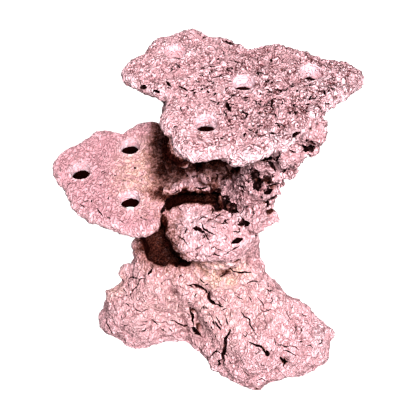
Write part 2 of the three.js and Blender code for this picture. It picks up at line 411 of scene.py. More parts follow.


# Curling creases where a noise crosses its middle, and specks. The creases and dark specks lie in the lows of
# the height and the pale specks on its highs, so they are grain and also painted shade and highlight. Coarse
# is how much of the large ones shows.
def makeGrainGroup():
    tree = bpy.data.node_groups.new("mineralGrain", "ShaderNodeTree")
    socket(tree, "Vector", "Vector")
    socket(tree, "Coarse", "Float")
    for name in ("Height", "Creases", "Pale specks"):
        socket(tree, name, "Float", "OUTPUT")
    start, end = [tree.nodes.new("NodeGroup" + way) for way in ("Input", "Output")]
    coarse = start.outputs["Coarse"]
    longer = place(tree, "VectorMath", operation="MULTIPLY")
    feed(start.outputs["Vector"], longer.inputs[0])
    longer.inputs[1].default_value = grain["stretch"]
    at = longer.outputs[0]
    large, small, patch, fine = [noiseAt(at, *grain[name]) for name in ("large", "small", "patch", "fine")]
    large, small = [sums("ABSOLUTE", sums("SUBTRACT", noise, 0.5), 0) for noise in (large, small)]
    largeLine = times(span(large, grain["largeLine"]), coarse)
    smallLine = times(span(small, grain["smallLine"]), span(coarse, grain["smallShare"]))
    lines = times(sums("MAXIMUM", largeLine, smallLine), span(patch, grain["patches"]))
    lines = sums("MAXIMUM", lines, span(fine, grain["darkSpecks"]))
    height = times(span(large, grain["largeRise"]), coarse)
    height = sums("ADD", height, span(small, grain["smallRise"]))
    height = sums("ADD", height, times(fine, grain["fineRise"]))
    feedAll(end, {"Height": height, "Creases": lines, "Pale specks": span(fine, grain["paleSpecks"])})
    return tree


# Fine cracks between the cement plates
plates = {
    "bend": 5,  # how far the borders wind, and over what length
    "sizes": (15.0, 6.5),
    "widths": (0.032, 0.045),  # as a share of the size
    "breaks": ((0.47, 0.57), (0.59, 0.69)),  # where a noise breaks the lines off
    "breakSize": 1.6,  # of that noise, in sizes
}


# The borders of bent Voronoi cells in two sizes, broken off where a noise is low.
def makePlateGroup():
    tree = bpy.data.node_groups.new("plateCracks", "ShaderNodeTree")
    socket(tree, "Vector", "Vector")
    socket(tree, "Cracks", "Float", "OUTPUT")
    start, end = [tree.nodes.new("NodeGroup" + way) for way in ("Input", "Output")]
    at, bend = start.outputs["Vector"], plates["bend"] * mm
    noise = place(tree, "TexNoise")
    feedAll(noise, {"Vector": at, "Scale": 1 / bend, "Detail": 3})
    moved = place(tree, "VectorMath", operation="MULTIPLY_ADD")
    feed(noise.outputs["Color"], moved.inputs[0])
    moved.inputs[1].default_value = (bend, bend, bend)
    feed(at, moved.inputs[2])
    lines = []
    for size, width, breaks in zip(plates["sizes"], plates["widths"], plates["breaks"]):
        cells = place(tree, "TexVoronoi", feature="DISTANCE_TO_EDGE")
        feedAll(cells, {"Vector": moved.outputs[0], "Scale": 1 / (size * mm)})
        line = span(cells.outputs["Distance"], (0.2 * width, width, 1, 0))
        mask = span(noiseAt(at, plates["breakSize"] * size), breaks)
        lines.append(times(line, mask))
    feed(sums("MAXIMUM", *lines), end.inputs["Cracks"])
    return tree


# A dull material with grain. Without a coarseness, the mesh gives it.
def newPaint(name, part, coarse=None):
    material = bpy.data.materials.new(name)
    material.use_nodes = True
    tree = material.node_tree
    shader = tree.nodes["Principled BSDF"]
    shader.location = (1800, 0)
    tree.nodes["Material Output"].location = (2100, 0)
    feedAll(shader, {"Roughness": paint["rough"][part], "Specular IOR Level": 0})
    where = place(tree, "TexCoord").outputs["Object"]
    sand = place(tree, "Group", node_tree=grainGroup)
    coarse = attribute(tree, "coarse") if coarse is None else coarse
    feedAll(sand, {"Vector": where, "Coarse": coarse})
    return material, tree, shader, sand.outputs, where


# Colour and bump, the bump's height in millimetres.
def finishPaint(shader, part, colour, height):
    bump = place(shader.id_data, "Bump")
    feedAll(bump, {"Strength": 1.0, "Distance": paint["bump"][part] * mm, "Height": height})
    feedAll(shader, {"Base Color": colour, "Normal": bump.outputs["Normal"]})


# The rock: pinks, over them paler edges and patches, grain, plates and painted shade in hollows, and last the
# painted shade of caves and recesses with its ragged borders.
def makeRockPaint():
    material, tree, shader, sand, where = newPaint("reefRockPink", "rock")
    cloud = noiseAt(where, paint["cloudSize"], 4, 0.65)
    patch = noiseAt(where, paint["patchSize"], 3, 0.65)
    grit = noiseAt(where, paint["gritSize"], 3, 0.7)
    shade = attribute(tree, "shade")
    cracked = place(tree, "Group", node_tree=plateGroup)
    feed(where, cracked.inputs["Vector"])
    crackle = times(cracked.outputs["Cracks"], attribute(tree, "plated"))
    uneven = sums("ADD", times(patch, "ragged"), times(grit, "ragged"))
    ragged = sums("ADD", sums("SUBTRACT", uneven, "ragged"), shade)
    reddishShare = times(span(grit, "rustGrit"), span(shade, "rustShade"))

    def patchy(name, limits):
        return times(attribute(tree, name), span(patch, limits))

    pale = blend(span(patch, "palePatches"), "deepPink", "palePink")
    colour = layered(pale, [
        (span(cloud, "pinkClouds"), "pink"),
        (span(cloud, "paleClouds"), "palePink"),
        (times(attribute(tree, "dull"), "dullFace"), "midPink"),
        (patchy("tan", "tanPatches"), "tan"),
        (times(attribute(tree, "edge"), "edges"), "palePink"),
        (patchy("pale", "wornPatches"), "palest"),
        (patchy("rim", "rimPatches"), "white"),
        (times(sand["Pale specks"], "specks"), "white"),
        (sand["Creases"], "crease"),
        (crackle, "crease"),
        # painted shade in hollows
        (times(attribute(tree, "cavityShade"), "cavities"), "crease"),
        (span(ragged, "duskShade"), "dusk"),
        (span(ragged, "caveShade"), blend(reddishShare, "deepShade", "rust")),
    ])
    finishPaint(shader, "rock", colour, sums("SUBTRACT", sand["Height"], crackle))
    return material


# The inside of a crack, painted as shade: dusky at its lips, and black within.
def makeCrackPaint():
    material, tree, shader, sand = newPaint("crackShadow", "crack", 0.5)[:4]
    inside = span(attribute(tree, "inside"), "crackInside")
    colour = layered("lip", [
        (inside, "crack"),
        (times(sand["Pale specks"], "crackSpecks"), "deepPink"),
    ])
    finishPaint(shader, "crack", colour, sand["Height"])
    return material


# The wall of a plug hole: smooth and pale in patches near its mouth, then dark as painted shade further down.
def makeHolePaint():
    material, tree, shader, sand, where = newPaint("plugHoleWall", "hole", 0.0)
    cloud = noiseAt(where, paint["holeCloudSize"], 3, 0.65)
    ragged = sums("ADD", attribute(tree, "holeDepth"), times(cloud, "holeRagged"))
    colour = layered("pink", [
        (span(cloud, "holePatches"), "holePale"),
        (times(sand["Creases"], "holeCreases"), "deepPink"),
        (span(ragged, "holeDark"), "deepShade"),
    ])
    finishPaint(shader, "hole", colour, sand["Height"])
    return material


grainGroup, plateGroup = makeGrainGroup(), makePlateGroup()
finishes = [makeRockPaint(), makeCrackPaint(), makeHolePaint()]
rockFinish, crackFinish, holeFinish = range(3)
print("materials made")


# The rock
rock = {
    "voxel": 1.43,  # of the remeshed skin
    "meltPasses": 12,  # how far the facets melt
    "ground": 0.8,  # points below stay on the ground
    "inset": 0.01,  # off the walls of the solid's box
    "holeRadius": 6.4,
    "holeWobble": 0.008,  # as a share of the radius
    "holeSides": 48,
    "holeWall": 7.0,  # reach of a wall, from the hole's middle
    "holeHeight": 26,  # and up and down
    "topHoles": [(-11, 37), (26, 12), (63, 20), (6, -19)],
    "midHoles": [(-73, 28), (-43, 47), (-41, 7)],
    "topDrill": (172.5, 215),  # heights
    "midDrill": (85, 126),
    "plugRadius": 6.9,  # keeps the holes from melting open
    "plugDepth": 14,
    "plugBelow": 0.3,  # the shelf's face
    "topLevel": 196,
    "midLevel": 108,  # above the middle of the mid shelf
    "midMiddle": 27,  # y there
    "midTilt": 8,  # degrees
}


# Height of the mid shelf's upper face: its level plus y times the tangent of its tilt.
def midFace(points):
    return rock["midLevel"] + (points[:, 1] - rock["midMiddle"]) * math.tan(math.radians(rock["midTilt"]))


# A closed tube whose radius wobbles by sines of three and five times the turn.
def drill(name, centre, low, high, seed, radius=rock["holeRadius"]):
    n, wobble = rock["holeSides"], rock["holeWobble"]
    turn = np.linspace(0, 2 * math.pi, n, endpoint=False)
    radius = radius * (1 + wobble * np.sin(3 * turn + seed) + wobble * np.sin(5 * turn + 2 * seed))
    ring = np.stack([centre[0] + radius * np.cos(turn), centre[1] + radius * np.sin(turn)], 1)
    points = np.concatenate([np.column_stack([ring, np.full(n, z)]) for z in (low, high)])
    here = np.arange(n)
    beside = np.roll(here, -1)
    sides = np.column_stack([here, beside, n + beside, n + here]).tolist()
    return putMesh(name, points, sides + [here[::-1].tolist(), (n + here).tolist()])


# The solid's mesh with its loose triangles joined.
def mergedCopy(node):
    work = bmesh.new()
    work.from_mesh(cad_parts[node].data)
    bmesh.ops.remove_doubles(work, verts=work.verts, dist=1e-6)
    mesh = bpy.data.meshes.new("reefRockSkin")
    work.to_mesh(mesh)
    work.free()
    return addObject("reefRockSkin", mesh)


def dropPiece(piece):
    mesh = piece.data
    bpy.data.objects.remove(piece)
    bpy.data.meshes.remove(mesh)


# Puts pieces into one mesh with one finish.
def joinPieces(name, pieces, finish):
    work = bmesh.new()
    for piece in pieces:
        work.from_mesh(piece.data)
        dropPiece(piece)
    bmesh.ops.recalc_face_normals(work, faces=work.faces)
    mesh = bpy.data.meshes.new(name)
    for made in finishes:
        mesh.materials.append(made)
    work.to_mesh(mesh)
    work.free()
    mesh.polygons.foreach_set("material_index", np.full(len(mesh.polygons), finish, dtype=np.int32))
    return addObject(name, mesh)


# Takes the cutter out of the piece. The cut faces keep the cutter's finish.
def cut(piece, cutter):
    finishWith(piece, "BOOLEAN", operation="DIFFERENCE", solver="MANIFOLD", material_mode="INDEX",
               object=cutter)
    dropPiece(cutter)


# 1 at the wall of a plug hole, falling to 0 over the reach.
def nearHoles(points, reach):
    near, wall = np.zeros(len(points)), rock["holeWall"]
    for holes, level in ((rock["topHoles"], rock["topLevel"]), (rock["midHoles"], rock["midLevel"])):
        for x, y in holes:
            away = np.hypot(points[:, 0] - x, points[:, 1] - y)
            inside = np.abs(points[:, 2] - level) < rock["holeHeight"]
            near = np.maximum(near, inside * (1 - ramp(away, wall, wall + reach)))
    return near


# Stones joined to the rock and hollows carved out of it: middle, half sizes
stones = {
    "knobs": [
        # spur left of the cave, ear above the left toe, ear and crust of the buttress
        (-37, 7, 52, 6, 8, 13), (-47, 2, 37, 7.5, 7, 4.5), (65, -5, 163, 4.5, 5, 4.5),
        (66, -4, 169, 4.5, 5, 5), (56, -5, 155, 5, 5, 6), (54, -3, 142, 5.5, 6, 6),
        (50, -5, 161, 6, 4, 4), (47, -5, 103, 5, 5, 4),
        # back of the boulder, and the arch above its left end
        (2, 3, 96, 19, 9, 8), (-14, 2, 94, 8, 8, 8), (-15, 12, 109, 6, 5, 3.5),
        # under the rim of the top shelf, the column, beside the right plug hole, foot of the column
        (22, -38, 189, 6, 4, 4), (42, -28, 189, 6, 5, 4), (-8, 3, 150, 7, 6, 5),
        (12, 6, 137, 8, 5, 6), (28, 8, 152, 7, 6, 7), (70.5, 20, 178, 3.5, 9, 9),
        (-6, 5, 124, 4, 4, 3), (6, 4, 128, 4, 4, 3.5),
    ],
    "carves": [
        # hole in the ear of the buttress and cavities of the crust
        (61.5, -5, 166, 2.6, 12, 2.4), (33.5, -2, 142, 2.3, 8, 4), (36, -2, 135, 2.8, 8, 4.5),
        (41, -3, 125, 4.5, 6, 3), (38, -3, 157, 6, 6, 3.5), (40, -1, 114, 3, 5, 2.5),
        # ends of the arch
        (-17, 5, 103.2, 3.5, 5, 2.4), (-20.5, 2, 101.5, 2, 4, 2), (13, 8, 106, 5, 8, 3.5),
        (18, 3, 107.5, 4, 6, 2.6), (22, -1, 107.5, 3, 5, 2),
    ],
    "sides": 18,
    "rings": 11,
    "lumpy": 0.35,
    "firstCarve": 50,  # seed
}


# A ball drawn out to its half sizes, its radius changed by a share of a noise.
def stone(at, size, seed):
    sides, rings = stones["sides"], stones["rings"]
    down = np.linspace(0, math.pi, rings + 1)[1:-1, None]
    turn = np.linspace(0, 2 * math.pi, sides, endpoint=False)[None, :]
    ball = np.stack([np.sin(down) * np.cos(turn), np.sin(down) * np.sin(turn), np.cos(down) + 0 * turn], 2)
    ball = np.concatenate([ball.reshape(-1, 3), [[0, 0, 1], [0, 0, -1]]])
    radius = 1 + stones["lumpy"] * roughness(ball * 2 + seed * 5.1, 1.6, 7, 2)
    points = np.array(at) + ball * radius[:, None] * size
    cells = np.arange((rings - 2) * sides).reshape(rings - 2, sides)
    beside = np.roll(cells, -1, axis=1)
    quads = np.stack([cells, cells + sides, beside + sides, beside], 2).reshape(-1, 4).tolist()
    first, last = np.arange(sides), np.arange(sides) + (rings - 2) * sides
    north = np.column_stack([np.full(sides, len(ball) - 2), first, np.roll(first, -1)]).tolist()
    south = np.column_stack([np.full(sides, len(ball) - 1), np.roll(last, -1), last]).tolist()
    return putMesh("stone", points, quads + north + south)


# Plugs that fill the holes from just under the shelves' faces downwards.
def plugs():
    made = []
    for holes, isTop in ((rock["topHoles"], True), (rock["midHoles"], False)):
        for x, y in holes:
            level = rock["topLevel"] if isTop else midFace(np.array([[x, y, 0]]))[0]
            ends = (level - rock["plugDepth"], level - rock["plugBelow"])
            made.append(drill("plug", (x, y), *ends, 0, rock["plugRadius"]))
    return made


knobs = [stone(row[:3], row[3:], seed) for seed, row in enumerate(stones["knobs"])]
skin = joinPieces("reefRockSkin", [mergedCopy("rock_tower")] + plugs() + knobs, rockFinish)
finishWith(skin, "REMESH", mode="VOXEL", voxel_size=rock["voxel"] * mm, adaptivity=0)
carves = [stone(row[:3], row[3:], seed) for seed, row in enumerate(stones["carves"], stones["firstCarve"])]
cut(skin, joinPieces("carves", carves, crackFinish))
print("skin remeshed:", len(skin.data.polygons), "faces")


# Where each zone of the rock begins or ends
zones = {
    "upper": (0.3, 0.8),  # slope of an upper face
    "topAbove": (183, 188),
    "midSlab": (-9, -6),  # off the slab's middle
    "midSink": 4,  # of its middle
    "midLeft": (12, 22),
    "boulderMiddle": (10, 90),  # x and z
    "boulderWide": (28, 36),
    "boulderHigh": (14, 19),
    "boulderFront": (-3, 5),
    "footBelow": (60, 72),
    "crustRight": (22, 32),
    "crustAbove": (108, 118),
    "crustFront": (12, 20),
    "browRight": (-24, -16),
    "browAbove": (106, 110),
    "browBelow": (132, 140),
    "rightHalf": (0, 30),
}


# Each zone is a product of ramps. Up is a shelf's upper face, and the crust takes in the brow of the arch.
def zonesOf(points, normals):
    x, y, z = points.T
    upper = ramp(normals[:, 2], *zones["upper"])
    top = ramp(z, *zones["topAbove"])
    mid = ramp(-np.abs(z - midFace(points) + zones["midSink"]), *zones["midSlab"])
    mid *= ramp(-x, *zones["midLeft"])
    middle, level = zones["boulderMiddle"]
    boulder = (1 - ramp(np.abs(x - middle), *zones["boulderWide"])) * ramp(-y, *zones["boulderFront"])
    boulder *= 1 - ramp(np.abs(z - level), *zones["boulderHigh"])
    crust = ramp(x, *zones["crustRight"]) * ramp(z, *zones["crustAbove"])
    brow = ramp(x, *zones["browRight"]) * ramp(z, *zones["browAbove"]) * (1 - ramp(z, *zones["browBelow"]))
    crust = np.maximum(crust, brow) * (1 - ramp(y, *zones["crustFront"])) * (1 - top)
    foot, right = 1 - ramp(z, *zones["footBelow"]), ramp(x, *zones["rightHalf"])
    return top, top * upper, mid, mid * upper, boulder, foot, crust, right


# Height and size of each kind of relief
relief = {
    "swell": (1.6, 13),  # of the bulk
    "smallSwell": (0.5, 6.0),
    "crumb": (0.6, 3.2),
    "topCrumb": 0.75,  # on the top shelf, at the same size
    "rough": (0.5, 4.5),
    "plates": (1.1, 17),  # of the foot and the boulder
    "plateBend": (4, 12.0),
    "plateBreaks": 15.0,
    "plateGap": 0.22,
    "crust": (1.3, 5.5),  # of the buttress
    "faceWave": (0.9, 11.0),  # of the shelves' upper faces
    "layers": (1.2, 8.5),  # of the boulder
    "layerWave": (3.5, 17),
    "scallop": (1.9, 7.0),  # of the shelves' rims
    "fineScallop": 3.5,
    "rimSwell": 0.5,  # for what melts off
}


# Rounded lumps, 1 high, with gaps between them at 0.
def lumps(points, size, seed, gap):
    return ramp(grains(points, size, seed), 0.0, gap)


# The height of the relief along the normal: the sum of its forms, each times its zones.
def reliefOf(points, normals):
    top, topUp, mid, midUp, boulder, foot, crust, right = zonesOf(points, normals)

    def forms(name, kind, middle, *settings):
        high, size = relief[name]
        return high * (kind(points, size, *settings) - middle)

    shelves = np.maximum(top, mid)
    bulk = (1 - shelves) * (1 - 0.6 * boulder)
    height = forms("swell", swellings, 0.7, 21) * bulk + forms("smallSwell", swellings, 0.6, 61, 1) * bulk
    (crumb, size), topCrumb = relief["crumb"], relief["topCrumb"]
    crumbs = crumb * (1 - 0.6 * midUp - 0.5 * foot - 0.3 * boulder)
    crumbs += (topCrumb * (0.7 + 0.7 * right) - crumb) * top
    height += crumbs * (lumps(points, size, 5, 0.5) - 0.6)
    height += forms("rough", roughness, 0, 3, 2) * ((1 - 0.4 * midUp) * (1 - 0.3 * foot))
    # plates with a step down between them, broken up by a noise
    (high, size), (bend, wide) = relief["plates"], relief["plateBend"]
    bent = points + np.stack([roughness(points, wide, seed, 2) for seed in (31, 32, 33)], 1) * bend
    broken = ramp(roughness(points, relief["plateBreaks"], 35, 2), -0.15, 0.25)
    inPlate = high * (lumps(bent, size, 9, relief["plateGap"]) - 0.8)
    height += inPlate * broken * np.maximum(foot, boulder)
    height += forms("crust", lumps, 0.6, 15, 0.4) * crust
    height += forms("faceWave", roughness, 0, 13, 2) * np.maximum(topUp, 0.6 * midUp)
    # layers that step out at their foot and die away upwards
    out, high = relief["layers"]
    step = (points[:, 2] + forms("layerWave", waves, 0, 77)) / high
    height += out * boulder * (0.5 - (step - np.floor(step)))
    # scallops, drawn out upwards
    side = (1 - np.abs(normals[:, 2])) * shelves
    deep, size = relief["scallop"]
    scallops = roughness(points * (1, 1, 0.5), size, 41, 2) + 0.5 * waves(points, relief["fineScallop"], 43)
    return height + side * deep * scallops + side * relief["rimSwell"]


# Corrections of the outline, in points of the picture: place, reach, then how far right and down
trims = [
    (152, 42, 16, -2, -2), (340, 61, 12, 0, -2), (358, 66, 10, 1, -2), (70, 147, 22, -1.5, -2.5),
    (55, 162, 12, -1, -1), (105, 132, 18, 0, -2.5), (142, 127, 18, 0, -3), (135, 91, 12, 0.5, -2.5),
    (158, 102, 9, 3, 0), (110, 230, 16, 0, -2.5), (134, 250, 14, -2, 0), (105, 292, 9, -2.5, -1.5),
    (101, 322, 16, -3, 0), (118, 341, 10, 1, -3), (142, 347, 12, 0, 2.5), (166, 343, 14, 0, -1.5),
    (197, 349, 14, 1.5, -2.5), (221, 373, 9, 1.5, -2.5), (257, 388, 9, 0, 2), (290, 378, 26, 1, 3.5),
    (329, 357, 18, 4, 2.5), (326, 322, 14, -4, 1.5), (262, 231, 9, -3, 0), (274, 217, 8, 2, 0),
    (282, 190, 9, 1.5, 0), (279, 290, 12, -1.5, 1), (327, 128, 9, 1.5, 0), (300, 372, 14, 0, 1),
    (118, 284, 8, 5, 0), (122, 264, 8, 2, 2), (104, 331, 10, -2, 2), (121, 342, 9, 0.5, -2.5),
    (145, 348, 12, 0, 2), (170, 342, 12, 0, -2), (213, 369, 6, -2, 1), (223, 375, 8, 1, -2),
    (245, 386, 10, 0, 2), (266, 385, 10, 0, 3), (325, 366, 12, 2, 2.5), (318, 317, 8, -1.5, 1.5),
    (305, 303, 10, 1, -2), (158, 38, 14, -1, -1.5), (133, 62, 10, -1.5, -1), (270, 45, 12, 0, -1.5),
    (363, 78, 12, 1.5, 0.5), (337, 103, 12, 0.5, 1), (325, 143, 8, 1.5, 1), (292, 177, 6, -3, 0),
    (276, 212, 10, -3, 0), (266, 228, 7, -3, -1), (140, 124, 18, 0, -2), (120, 131, 8, 0, -1.5),
    (54, 163, 10, -1.5, 0), (62, 150, 12, -1, -1.5),
]


# Moves points in the picture's plane, by a ramp from each place to 1.6 times its reach.
def trimOutline(points):
    view = np.array(camera.rotation_euler.to_matrix())
    middle = studio["picture"] / 2
    scale = studio["picture"] * studio["lens"] / studio["sensor"]
    ahead = (points - np.array(studio["cameraAt"]) / mm) @ view
    depth = -ahead[:, 2]
    x, y = middle + scale * ahead[:, 0] / depth, middle - scale * ahead[:, 1] / depth
    shift = np.zeros((len(points), 2))
    for u, v, reach, right, down in trims:
        share = 1 - ramp(np.hypot(x - u, y - v), 0, 1.6 * reach)
        shift += share[:, None] * (right, -down)
    shift *= (depth / scale * (1 - nearHoles(points, 5.0)))[:, None]
    moved = points + shift @ view[:, :2].T
    moved[points[:, 2] < rock["ground"], 2] = 0
    return moved


# Trims the outline, melts the facets and pushes the relief out. The underside stays flat.
def shapeSkin():
    mesh = skin.data
    points = readMesh(mesh)[0]
    ground = points[:, 2] < rock["ground"]
    writePoints(mesh, relax(trimOutline(points), edgesOf(mesh), rock["meltPasses"], ground.astype(float)))
    points, normals = readMesh(mesh)
    height = reliefOf(points, normals) * (1 - 0.8 * nearHoles(points, 2.0))
    height[ground] = 0
    points = points + normals * height[:, None]
    points[ground, 2] = 0
    low, high = np.array(cadBox[0]) / mm, np.array(cadBox[1]) / mm
    writePoints(mesh, np.clip(points, low + rock["inset"], high - rock["inset"]))


shapeSkin()
drills = [drill("drill", centre, *rock["topDrill"], n) for n, centre in enumerate(rock["topHoles"])]
drills += [drill("drill", centre, *rock["midDrill"], n) for n, centre in enumerate(rock["midHoles"], 9)]
cut(skin, joinPieces("drills", drills, holeFinish))
print("skin shaped and drilled:", len(skin.data.polygons), "faces")


# Cracks, as the camera sees them: width and depth in millimetres, then x, y of each point in the picture
cracks = [
    (1.5, 5, 187, 285, 194, 284, 200, 286, 205, 290, 208, 294),
    (2.7, 7, 208, 291, 209, 298, 212, 302, 216, 304), (1.2, 4, 214, 304, 224, 307),
    (1.7, 5, 189, 307, 193, 314, 194, 326), (3.2, 7, 192, 327, 196, 331, 201, 334),
    (1.3, 4, 169, 320, 177, 322, 184, 326, 192, 328),
    (2.6, 7, 230, 329, 227, 338, 225, 347, 223, 359, 218, 368), (1.0, 3, 216, 316, 218, 321, 222, 327),
    (0.9, 3, 194, 339, 200, 349, 205, 356), (0.8, 3, 209, 358, 214, 353, 217, 348),
    (1.1, 4, 240, 312, 249, 320, 252, 328, 257, 336), (1.6, 6, 249, 342, 257, 345, 262, 348, 267, 355),
    (3.2, 5, 266, 350, 269, 356), (1.9, 5, 280, 357, 284, 361, 289, 362),
    (1.6, 4, 284, 358, 285, 362, 283, 367), (0.8, 3, 274, 334, 276, 345, 285, 346, 295, 347, 300, 350),
    (0.8, 3, 283, 350, 290, 352, 297, 356), (1.2, 4, 230, 268, 236, 272, 244, 273, 252, 272),
    (0.8, 3, 247, 284, 253, 281, 259, 281), (1.8, 6, 152, 268, 150, 272, 148, 275),
    (0.8, 3, 148, 276, 140, 280, 135, 288, 129, 298), (1.3, 5, 128, 280, 132, 277, 138, 278),
    (1.3, 3, 105, 316, 109, 326, 113, 334), (0.9, 3, 133, 306, 138, 311, 142, 312, 149, 309),
    (0.9, 3, 152, 319, 158, 325), (0.8, 3, 141, 322, 148, 321), (0.9, 3, 168, 328, 173, 332),
    (1.6, 4, 215, 321, 218, 326, 221, 330), (0.9, 3, 226, 318, 228, 326),
    (0.8, 3, 257, 296, 262, 303, 264, 310), (0.8, 3, 236, 296, 243, 300),
    (0.8, 3, 208, 313, 213, 318, 214, 325), (0.8, 3, 240, 370, 247, 374, 256, 375),
    (0.8, 3, 255, 381, 262, 378, 266, 381), (2.6, 5, 193, 228, 199, 230, 205, 233),
    (1.1, 3, 199, 220, 203, 217, 209, 218), (1.3, 4, 201, 222, 203, 226, 204, 229, 209, 232, 216, 234),
    (4.4, 7, 238, 225, 243, 222, 250, 223), (0.9, 3, 240, 214, 244, 207, 250, 206, 254, 210, 252, 216),
    (2.8, 6, 231, 243, 236, 241, 243, 239), (1.1, 3, 223, 256, 232, 250, 240, 246),
    (0.9, 3, 205, 256, 213, 254, 222, 257), (0.8, 3, 216, 222, 223, 224, 229, 223),
    (0.8, 3, 178, 236, 184, 240, 188, 246), (2.0, 6, 233, 208, 236, 211, 239, 213),
    (1.2, 4, 194, 188, 201, 189, 208, 187), (0.9, 2.5, 97, 208, 100, 213, 103, 217),
    (0.8, 2.5, 106, 216, 111, 219), (0.8, 2.5, 120, 220, 124, 223), (0.7, 2.5, 80, 203, 86, 209),
    (1.6, 3, 134, 167, 136, 169), (3.0, 6, 140, 87, 147, 87), (1.8, 4, 153, 90, 160, 93),
    (1.7, 4, 166, 81, 171, 87), (1.5, 4, 178, 86, 183, 88, 188, 91), (1.3, 3, 227, 61, 233, 61, 239, 63),
    (2.2, 4, 227, 102, 228, 108, 231, 112), (1.4, 3, 210, 100, 217, 103), (1.7, 3.5, 257, 72, 259, 75),
    (1.4, 3, 271, 59, 271, 62), (1.6, 3, 271, 81, 273, 83), (1.4, 3, 273, 99, 272, 105),
    (1.6, 3, 292, 83, 294, 85), (1.6, 3, 296, 90, 298, 92), (1.4, 3, 309, 84, 311, 86),
    (1.4, 3, 328, 90, 330, 92), (2.2, 6, 266, 162, 270, 162, 273, 166, 275, 172),
    (1.8, 5, 281, 153, 278, 157, 276, 162), (1.2, 4, 266, 187, 273, 185, 280, 184),
    (3.4, 7, 264, 193, 269, 191, 273, 189), (2.4, 6, 264, 200, 267, 202, 269, 205),
    (2.2, 5, 292, 137, 296, 134, 301, 132), (2.4, 6, 306, 139, 311, 141, 316, 145),
    (2.4, 6, 303, 144, 308, 148, 313, 149), (1.1, 4, 289, 150, 293, 152, 296, 152),
    (0.9, 3, 240, 173, 245, 177, 249, 183), (1.2, 4, 235, 184, 241, 186, 246, 191),
    (1.0, 3, 247, 206, 253, 209, 254, 214, 250, 218), (1.4, 3, 242, 190, 243, 193),
    (1.4, 3, 253, 187, 254, 190),
]

# Pits: how many are tried in each part of the picture, its corners, their width and length
pits = {
    "fields": [
        # top shelf
        (60, 215, 62, 335, 118, 1.1, 4), (28, 240, 88, 290, 134, 1.1, 4),
        (14, 135, 70, 215, 96, 1.1, 4), (16, 165, 50, 250, 80, 0.9, 4),
        (14, 170, 90, 250, 140, 0.9, 4),
        # boulder, then foot
        (26, 172, 208, 255, 252, 0.8, 6), (26, 205, 285, 325, 370, 0.8, 6),
        (16, 112, 292, 190, 340, 0.8, 5), (14, 180, 275, 235, 335, 1.0, 5),
        # mid shelf, buttress, column and arch
        (20, 60, 140, 150, 220, 0.8, 3), (24, 262, 160, 300, 212, 0.9, 5),
        (16, 170, 160, 250, 192, 1.3, 4), (26, 166, 172, 262, 196, 0.8, 5),
    ],
    "elsewhere": 100,  # on the back and under the shelves
    "depth": 2.6,
    "longer": (0.6, 1.5),  # shares of their length and width
    "wider": (0.7, 1.3),
    "hiddenLength": (4, 12),
    "hiddenWidth": (1.2, 2.4),
    "clear": 2.5,  # of the plug holes
    "steps": 5,
    "turning": 1.1,
    "seed": 12,
}

# Blades that cut them
blades = {
    "step": 1.3,  # along the path
    "lift": 1.8,  # out of the rock
    "longestStep": 12,  # a longer one jumps to another part
    "wobble": 1.2,
    "wobbleSize": 4.0,
    "uneven": 0.35,  # change of width
    "unevenSize": 3.0,
    "batches": 3,
}


# The point of the rock at a point of the picture, with its normal, or None where there is none.
def seenAt(tree, x, y):
    middle = studio["picture"] / 2
    scale = studio["sensor"] / studio["lens"] / studio["picture"]
    ray = Vector(((x - middle) * scale, (middle - y) * scale, -1))
    ray.rotate(camera.rotation_euler)
    point, normal = tree.ray_cast(Vector(studio["cameraAt"]), ray)[:2]
    return None if point is None else (np.array(point) / mm, np.array(normal))


# A blade along a path: at each step a triangle, as wide as the crack at the surface and pointed at its depth.
# Both taper to the ends, by the root of a sine, and the path wobbles.
def blade(tree, path, width, depth, seed):
    steps = np.linalg.norm(np.diff(path, axis=0), axis=1)
    along = np.concatenate(([0], np.cumsum(steps)))
    count = max(5, int(along[-1] / blades["step"]) + 2)
    t = np.linspace(0, along[-1], count)
    middle = np.stack([np.interp(t, along, path[:, n]) for n in range(3)], 1)
    found = [tree.find_nearest(Vector(point) * mm) for point in middle]
    middle = np.array([hit[0] for hit in found]) / mm
    outward = np.array([hit[1] for hit in found])
    for step in range(3):
        outward[1:-1] = outward[:-2] + outward[1:-1] + outward[2:]
        outward /= np.linalg.norm(outward, axis=1)[:, None]
    across = np.cross(np.gradient(middle, axis=0), outward)
    across /= np.maximum(np.linalg.norm(across, axis=1), 1e-6)[:, None]
    wobble = waves(middle + 3.3 * seed, blades["wobbleSize"], 15) * min(blades["wobble"], along[-1] / 12)
    middle = middle + across * wobble[:, None]
    taper = np.sqrt(np.clip(np.sin(np.linspace(0.12, math.pi - 0.12, count)), 0, 1))[:, None]
    lift = blades["lift"]
    uneven = (1 + blades["uneven"] * waves(middle + seed, blades["unevenSize"], 25))[:, None]
    wide = 0.5 * width * taper * uneven * (depth + lift) / depth
    left = middle + outward * lift - across * wide
    right = middle + outward * lift + across * wide
    tip = middle - outward * depth * taper
    points = np.stack([left, right, tip], 1).reshape(-1, 3)
    sides = np.array([[0, 1, 4, 3], [1, 2, 5, 4], [2, 0, 3, 5]])
    faces = (3 * np.arange(count - 1)[:, None, None] + sides).reshape(-1, 4).tolist()
    faces += [[2, 1, 0], [3 * count - 3, 3 * count - 2, 3 * count - 1]]
    return putMesh("blade", points, faces)


# A short walk from a point of the surface that turns a little at each step.
def wander(random, start, normal, length):
    ahead = np.cross(normal, random.normal(size=3))
    ahead /= np.linalg.norm(ahead)
    path = [start]
    for step in range(pits["steps"]):
        ahead = ahead + pits["turning"] * np.cross(normal, ahead) * random.normal()
        ahead /= np.linalg.norm(ahead)
        path.append(path[-1] + ahead * length / pits["steps"])
    return np.array(path)


